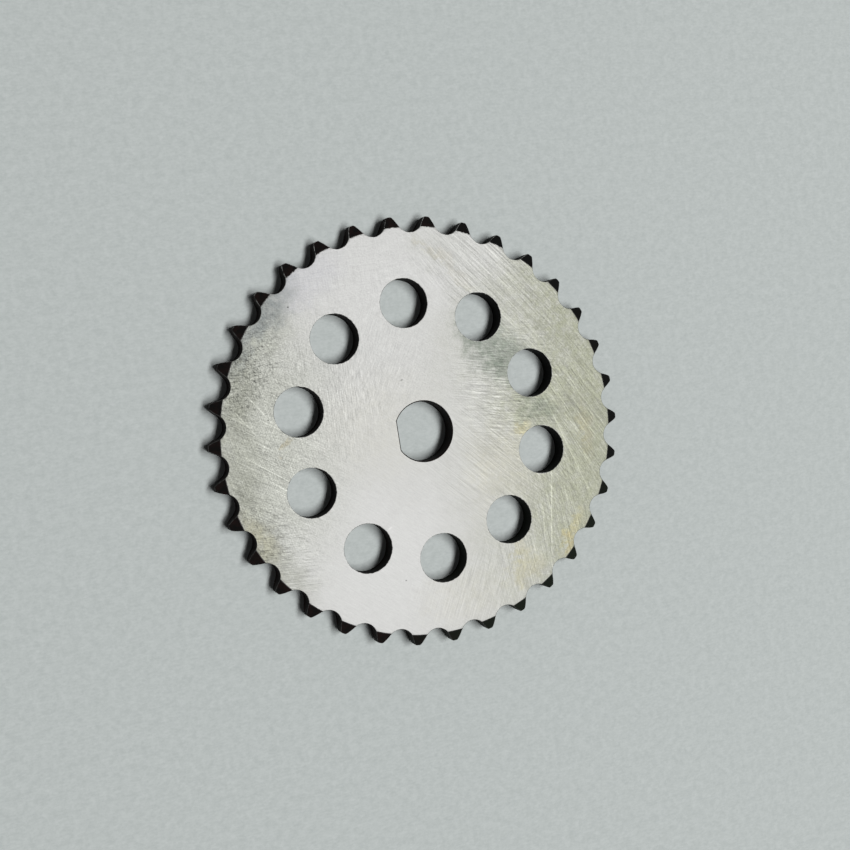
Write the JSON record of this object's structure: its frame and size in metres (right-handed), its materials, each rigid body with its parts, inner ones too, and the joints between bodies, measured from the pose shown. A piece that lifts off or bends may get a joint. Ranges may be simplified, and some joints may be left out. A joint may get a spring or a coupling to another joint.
{
  "type": "chain sprocket",
  "caption": "Flat steel sprocket for roller chain, with bevelled teeth, a ring of round lightening holes in its web and a bore with one flat.",
  "frame": {"origin": "on the bore's axis, at the lower face, on which the wheel lies", "axes": "+Z along the bore; a tooth and a lightening hole are centred on +Y; the flat in the bore is on the -X side"},
  "size_m": [0.1394, 0.14, 0.0072],
  "materials": {
    "ground_steel": "ground flat on the faces with fine scratches, dark oxide on the teeth and in the holes"
  },
  "bodies": {
    "root": {"sprocket": "ground_steel"}
  },
  "joints": []
}
